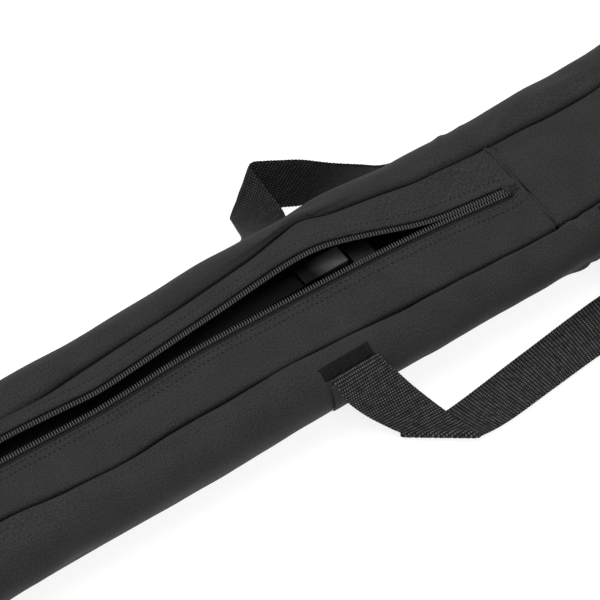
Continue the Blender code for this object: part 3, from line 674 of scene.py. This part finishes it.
# ---------------------------------------------------------------- zip

def zip_tape(side):
    """A tape under a panel's lip, with the fine ridges of its weave running along it."""
    width = 0.0135
    widths = np.linspace(-0.0002, width, 56)
    ridge = 0.00016 * np.cos(widths / 0.00075 * math.pi) * np.clip((widths - 0.0012) / 0.0005, 0, 1)
    rows = []
    for x in stations(-0.3385, SEAM_X - 0.002, 0.002):
        lip = lip_height(side, x)
        rows.append([(x, row_y(side, x) + side * w, 0.0461 + lip * (0.95 - 0.3 * w / width) + r)
                     for w, r in zip(widths, ridge)])
    mesh = grid_mesh(f"tape_{WORD[side]}", np.array(rows), flip=side == NEAR)
    piece = add(mesh.name, mesh, TAPE, "bag", [f"zip_tape_{WORD[side]}"])
    thicken(piece, LIP_THICKNESS)


def coil(side):
    """The nylon coil, a flattened helix along the tape's edge, round its core cord."""
    xs = stations(ZIP_START, ZIP_END + (0.0008 if side == FAR else -0.0005), 0.001)
    axis = np.array([(x, row_y(side, x), COIL_Z + lip_height(side, x)) for x in xs])
    lengths = arc_length(axis)
    turns = int(lengths[-1] / COIL_PITCH)
    phase = np.linspace(0, turns, turns * 14 + 1)
    at = phase / turns * lengths[-1]
    angle = -2 * math.pi * phase
    line = np.stack([np.interp(at, lengths, axis[:, k]) for k in range(3)], axis=-1)
    line[:, 1] += 0.00150 * np.cos(angle)
    line[:, 2] += 0.00062 * np.sin(angle)
    mesh = tube(f"coil_{WORD[side]}", line, 0.00037, sides=6)
    add(mesh.name, mesh, TEETH, "bag", [f"zip_teeth_{WORD[side]}"])
    mesh = tube(f"coil_core_{WORD[side]}", axis - (0, 0, 0.0002), 0.00045)
    add(mesh.name, mesh, BINDING_AND_PAINTED_SHADE, "bag")


def zip_tongue():
    """The tapes' ends, folded together and sewn under the cross seam."""
    start = 0.0470
    across = np.linspace(-1, 1, 22)
    rows = []
    for x in np.linspace(start, SEAM_X + 0.0006, 18):
        low, high = row_y(NEAR, x) - 0.0034, row_y(FAR, x) + 0.0026
        climb = 0.0464 + 0.0013 * (x - start) / 0.008
        rows.append([(x, (low + high) / 2 + (high - low) / 2 * a,
                      climb + 0.0008 * (1 - a * a) + 0.0003 * math.cos(a * 9)) for a in across])
    mesh = grid_mesh("tape_end", np.array(rows))
    thicken(add(mesh.name, mesh, TAPE, "bag"), LIP_THICKNESS)


# ---------------------------------------------------------------- webbing

def rib_height(u, v):
    """Relief of the webbing: ribs across it, each rib a row of staggered yarn humps."""
    row = np.floor(v / RIB)
    rib = np.abs(np.sin(math.pi * v / RIB)) ** 0.8
    hump = 0.5 + 0.5 * np.cos(2 * math.pi * (u / DOT + 0.5 * (row % 2)))
    return rib * (0.35 + 0.65 * hump)


def strap(side, edge_a, edge_b, steps, material):
    """Webbing between two edges in millimetres. Its ribs stay square to it, as they follow both edges."""
    thickness, depth = 0.0017, 0.00042
    a, b = (spline(np.array(edge) / 1000, steps) for edge in (edge_a, edge_b))
    length_a, length_b = arc_length(a), arc_length(b)
    common = (length_a[-1] + length_b[-1]) / 2
    length_a *= common / length_a[-1]
    length_b *= common / length_b[-1]
    columns = 66
    t = np.linspace(0, 1, columns)
    u = np.broadcast_to(t * WEBBING_WIDTH, (len(a), columns))
    v = length_a[:, None] * (1 - t) + length_b[:, None] * t
    middle = a[:, None] * (1 - t[:, None]) + b[:, None] * t[:, None]
    normal = grid_normals(middle)
    across = b - a
    across /= np.linalg.norm(across, axis=1, keepdims=True)
    relief = rib_height(u, v)
    round_off = np.sqrt(np.clip(1 - (2 * np.abs(t - 0.5)) ** 14, 0, 1))
    scallop = 0.00035 * (np.abs(np.sin(math.pi * v / RIB)) - 0.5)
    middle = middle + across[:, None] * (np.sign(t - 0.5) * (np.abs(t - 0.5) > 0.48) * scallop)[..., None]
    high = (thickness / 2 * round_off + depth * (relief - 0.6) * round_off)[..., None]
    points = np.concatenate([middle + normal * high, (middle - normal * high)[:, ::-1]], axis=1)
    u, v = (np.concatenate([length, length[:, ::-1]], axis=1) for length in (u, v))
    mesh = grid_mesh(f"strap_{WORD[side]}", points, u=u, v=v, wrap=True, flip=side == FAR)
    cap_ends(mesh)
    add(mesh.name, mesh, material, f"{WORD[side]}_handle", [f"handle_{WORD[side]}"])


def near_handle():
    """Over the shoulder, folded on the table, flat beside the bag, folded again and up to its right end."""
    edge_a = [(-110.5, -53.4, 46.3), (-109.4, -56.6, 43.4), (-107.9, -60.4, 37.0), (-104.0, -62.4, 28.6),
              (-95.8, -68.0, 16.6), (-85.2, -77.6, 6.6), (-82.6, -80.6, 4.8), (-83.0, -81.4, 3.2),
              (-81.4, -80.6, 1.9), (-66, -81.6, 1.7), (-51, -81.4, 1.7), (6, -74.7, 1.7), (63.5, -68.2, 1.7),
              (108, -66.6, 1.7), (112.6, -66.9, 1.9), (114.2, -67.2, 3.4), (113.2, -66.6, 5.2),
              (113, -64.9, 20), (113, -61.8, 34), (113, -57.4, 42.6), (113, -53.4, 46.3)]
    edge_b = [(-78.5, -53.4, 46.3), (-77.6, -56.8, 43.9), (-72.6, -63.8, 35.6), (-66.8, -72.0, 26.0),
              (-56.4, -88.0, 12.4), (-50.2, -101.4, 7.2), (-48.2, -106.8, 6.2), (-48.4, -108.4, 4.4),
              (-46.4, -107.6, 3.0), (-38, -108.2, 2.6), (-25, -107.9, 2.4), (6, -104.8, 2.4),
              (39.5, -101.6, 2.4), (76, -99.6, 2.2), (80.0, -99.6, 2.4), (82.2, -100.2, 4.2),
              (81.5, -98.4, 6.0), (81, -90.0, 17), (81, -76.0, 31), (81, -59.0, 43.5), (81, -53.4, 46.3)]
    steps = (12, 14, 24, 34, 34, 10, 8, 8, 24, 26, 76, 76, 50, 10, 8, 8, 30, 30, 26, 14)
    strap(NEAR, edge_a, edge_b, steps, WEBBING)


def far_handle():
    """Out from the side wall, round an upright fold, and back on its lower edge to its right end."""
    edge_a = [(-91, 60.6, 32.6), (-88.3, 63.4, 29.8), (-82.2, 70, 23), (-75.6, 84, 11.5), (-71.2, 95.6, 4.4),
              (-70.2, 97.6, 2.8), (-67.6, 96.8, 2.0), (-52, 92.5, 2.0), (-42, 88, 2.4), (-30.8, 81.4, 3.2),
              (-12, 79.4, 2.0), (8, 75.8, 1.7), (40, 73, 1.7), (70, 68.6, 1.7), (78.5, 66.4, 1.7),
              (81.2, 64.8, 2.4), (81.3, 63.2, 4.4), (81, 61.0, 14), (81, 58.0, 23), (81, 56.8, 27.4)]
    edge_b = [(-59, 60.6, 32.6), (-57, 62.6, 31.2), (-54.9, 66.4, 29.0), (-53.6, 74, 29.0), (-52.6, 92, 30.8),
              (-52.2, 103.0, 32.8), (-50.2, 104.2, 33.2), (-43, 101.2, 32.4), (-36.2, 97, 32.2),
              (-26.7, 90, 32.8), (-12.9, 78, 31.6), (1.3, 67.5, 30.0), (11.1, 64.4, 24.0), (34, 62.4, 15.0),
              (64, 62.2, 16.0), (92, 62.0, 18.0), (108, 61.0, 19.6), (113.2, 59.6, 23.2),
              (113.2, 57.8, 25.4), (113, 56.8, 27.4)]
    steps = (10, 20, 34, 30, 8, 10, 34, 26, 30, 40, 44, 60, 60, 16, 10, 10, 22, 20, 10)
    # The far strap takes the darker copy of the webbing as painted shade
    strap(FAR, edge_a, edge_b, steps, WEBBING_PAINTED_SHADE)


DOUBLING = 0.0007
# Lower edge of each sewn-down end: distance from the middle, height and slope in degrees
SEATS = {(NEAR, "left"): (0.0534, 0.0463, -30.1), (NEAR, "right"): (0.0534, 0.0463, -30.1),
         (FAR, "left"): (0.0600, 0.0318, -79.0), (FAR, "right"): (0.0592, 0.0302, -79.0)}


def anchor(side, hand):
    """The sewn-down end of a strap: a doubled band with one row of stitches, and a patch below it."""
    y, z, slope = SEATS[side, hand]
    slope = math.radians(slope)
    mirror = np.array((1.0, side, 1.0))
    down = np.array((0.0, math.cos(slope), math.sin(slope)))
    out = np.array((0.0, -math.sin(slope), math.cos(slope)))
    tail = f"{WORD[side]}_{hand}"
    low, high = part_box(f"anchor_{tail}")
    root = np.array(((low.x + high.x) / 2, y, z))
    columns = np.linspace(-0.0172, 0.0172, 49)
    puff = 1 - np.clip((np.abs(columns) - 0.0150) / 0.0022, 0, 1) ** 2
    sunk = 0.0010
    profile = spline([(-0.0082, -sunk), (-0.0070, -0.0001), (-0.0050, 0.0005), (-0.0022, 0.0007),
                      (-0.0004, 0.0001), (0.0002, -0.0008)], 6)
    profile = profile * (1.0 if side == NEAR else 0.50, 1.0)
    rows = []
    for along, height in profile:
        rise = (height + sunk) * puff - sunk + 0.0002 * np.sin(columns * 900 + along * 2000)
        rows.append([root + (x, 0, 0) + down * along + out * r for x, r in zip(columns, rise)])
    points = np.array(rows)
    if (side, hand) == (FAR, "right"):
        points = np.array([[(x, *settle(side, x, y, z)) for x, y, z in line] for line in points])
    points = points * mirror
    mesh = grid_mesh(f"root_{tail}", points, flip=side == FAR)
    # The near band takes the near-black binding cloth: painted shade of the hollow round the strap's root
    material = BINDING_AND_PAINTED_SHADE if side == NEAR else SHELL
    thicken(add(mesh.name, mesh, material, "bag", [f"anchor_{tail}"]), DOUBLING)
    line = points[12:14].mean(axis=0)[3:-3] + out * mirror * 0.0001
    stitches(f"stitch_{tail}", line, "bag", radius=0.00022)
    side_patch(side, f"patch_{tail}", root[0])


PATCH_HALF = 0.0158
PATCH_BOTTOM = 0.0262
PATCH_TOP = {NEAR: 0.0440, FAR: 0.0310}
# How many points of a side wall's section lie between the ground and the shoulder
WALL_POINTS = 38


def side_patch(side, name, middle):
    """A doubling of shell cloth on the side wall behind a sewn-down end."""
    heights = np.linspace(PATCH_BOTTOM, PATCH_TOP[side], 30)
    rows = []
    for x in np.linspace(middle - PATCH_HALF, middle + PATCH_HALF, 34):
        place = (x + END_X) / (2 * END_X) * (len(SIDE_SURFACE[side]) - 1)
        first, part = int(place), place - int(place)
        outline = SIDE_SURFACE[side][first] * (1 - part) + SIDE_SURFACE[side][first + 1] * part
        ys = np.interp(heights, outline[:WALL_POINTS, 2], outline[:WALL_POINTS, 1])
        rows.append([(x, y + side * SHELL_THICKNESS, z) for y, z in zip(ys, heights)])
    points = np.array(rows)
    mesh = grid_mesh(name, points, u=points[..., 0] - middle, v=points[..., 2], flip=side == NEAR)
    thicken(add(name, mesh, SHELL, "bag"), DOUBLING)


# ---------------------------------------------------------------- stand

def finish_nodes():
    """Better materials for the CAD nodes that stay."""
    kept = {
        ENAMEL: ("slider_body", "slider_pull"),
        STEEL_STOP: ("zip_stop_left", "zip_stop_right"),
        NICKEL: ("pull_pin", "hub_pin_a", "hub_pin_b", "hub_pin_c", "strut_pin_a", "strut_pin_b",
                 "strut_pin_c", "upper_arm_rivet", "lower_arm_rivet", "tilt_pin"),
        BLACK_STEEL_PAINTED_SHADE: ("lower_tube", "middle_tube", "upper_tube", "leg_a", "leg_b", "leg_c", "strut_a", "strut_b",
                "strut_c", "desk_spine", "upper_arm_left", "upper_arm_right", "lower_arm_left",
                "lower_arm_right"),
        PLASTIC: ("bottom_hub", "sliding_collar", "lower_clamp", "upper_clamp", "lower_knob", "upper_knob",
                  "tilt_knob", "tilt_bracket", "desk_socket"),
        DULL_PAINTED_SHADE: ("foot_b", "foot_c"),
        foot_painted_shade_to_highlight("foot_painted_shade_to_highlight", FOOT_START, FOOT_END): ("foot_a",),
    }
    for material, names in kept.items():
        for name in names:
            for slot in NODES[name].material_slots:
                slot.material = material


# ---------------------------------------------------------------- camera, light, floor

def staged(name, data):
    thing = bpy.data.objects.new(name, data)
    bpy.context.scene.collection.objects.link(thing)
    thing.rotation_mode = "QUATERNION"
    return thing


def camera():
    """A long lens from the photograph's side, high over the near handle."""
    back = Vector((-0.357, -0.491, 0.794)).normalized()
    target = Vector((-0.0924, 0.0, 0.048))
    distance = 3.683
    view = staged("camera", bpy.data.cameras.new("camera"))
    view.data.lens = 400
    view.data.sensor_width = 36
    view.location = target + back * distance
    view.rotation_quaternion = (-back).to_track_quat("-Z", "Y")
    bpy.context.scene.camera = view


def lights():
    """White surroundings, a large soft light overhead and a weaker one from the near side."""
    world = bpy.data.worlds.new("studio")
    world.use_nodes = True
    background = world.node_tree.nodes["Background"].inputs
    background["Color"].default_value = (1, 1, 1, 1)
    background["Strength"].default_value = 0.50
    bpy.context.scene.world = world
    bpy.context.scene.view_settings.view_transform = "Standard"
    for name, place, size, power in (("key", (-0.35, 0.45, 1.75), 1.6, 36.0),
                                     ("fill", (0.1, -1.3, 1.0), 1.2, 9.0)):
        light = staged(name, bpy.data.lights.new(name, "AREA"))
        light.data.size = size
        light.data.energy = power
        light.location = place
        light.rotation_quaternion = Vector(place).to_track_quat("Z", "Y")


def paper_floor():
    """Bright white paper just under the bag."""
    reach, z = 30.0, -0.0004
    mesh = bpy.data.meshes.new("floor")
    corners = [(-reach, -reach, z), (reach, -reach, z), (reach, reach, z), (-reach, reach, z)]
    mesh.from_pydata(corners, [], [(0, 1, 2, 3)])
    floor = staged("floor", mesh)
    n = Nodes("floor_paper")
    n.set(Base_Color=(0.3, 0.3, 0.3, 1.0), Roughness=0.9, Emission_Color=(1, 1, 1, 1), Emission_Strength=0.82,
          Specular_IOR_Level=0.0)
    mesh.materials.append(n.material)


camera()
lights()
paper_floor()
for wall in (NEAR, FAR):
    gusset(wall)
    top_panel(wall)
    zip_tape(wall)
    coil(wall)
flat_top("skin_sleeve", SEAM_X + 0.0008, END_X, ["sleeve_top"],
         ((0.062, 0.020, 0.095, 0.010, 0.0008, 0.0040), (0.060, -0.020, 0.100, -0.034, 0.0010, 0.0040),
          (0.090, 0.005, 0.150, -0.010, 0.0008, 0.0070)))
flat_top("skin_band", -END_X, BAND_X, ["top_band_left"])
bottom()
for end in (-1, 1):
    end_panel(end)
cross_seam()
zip_tongue()
stitches("stitch_lip_near", surface_line(NEAR, 0.0016, 0.0007), "bag")
stitches("stitch_lip_near_second", surface_line(NEAR, 0.0058, 0.0007), "bag")
stitches("stitch_lip_far", surface_line(FAR, 0.0052, 0.0006), "bag")
near_handle()
far_handle()
for seat in SEATS:
    anchor(*seat)
finish_nodes()
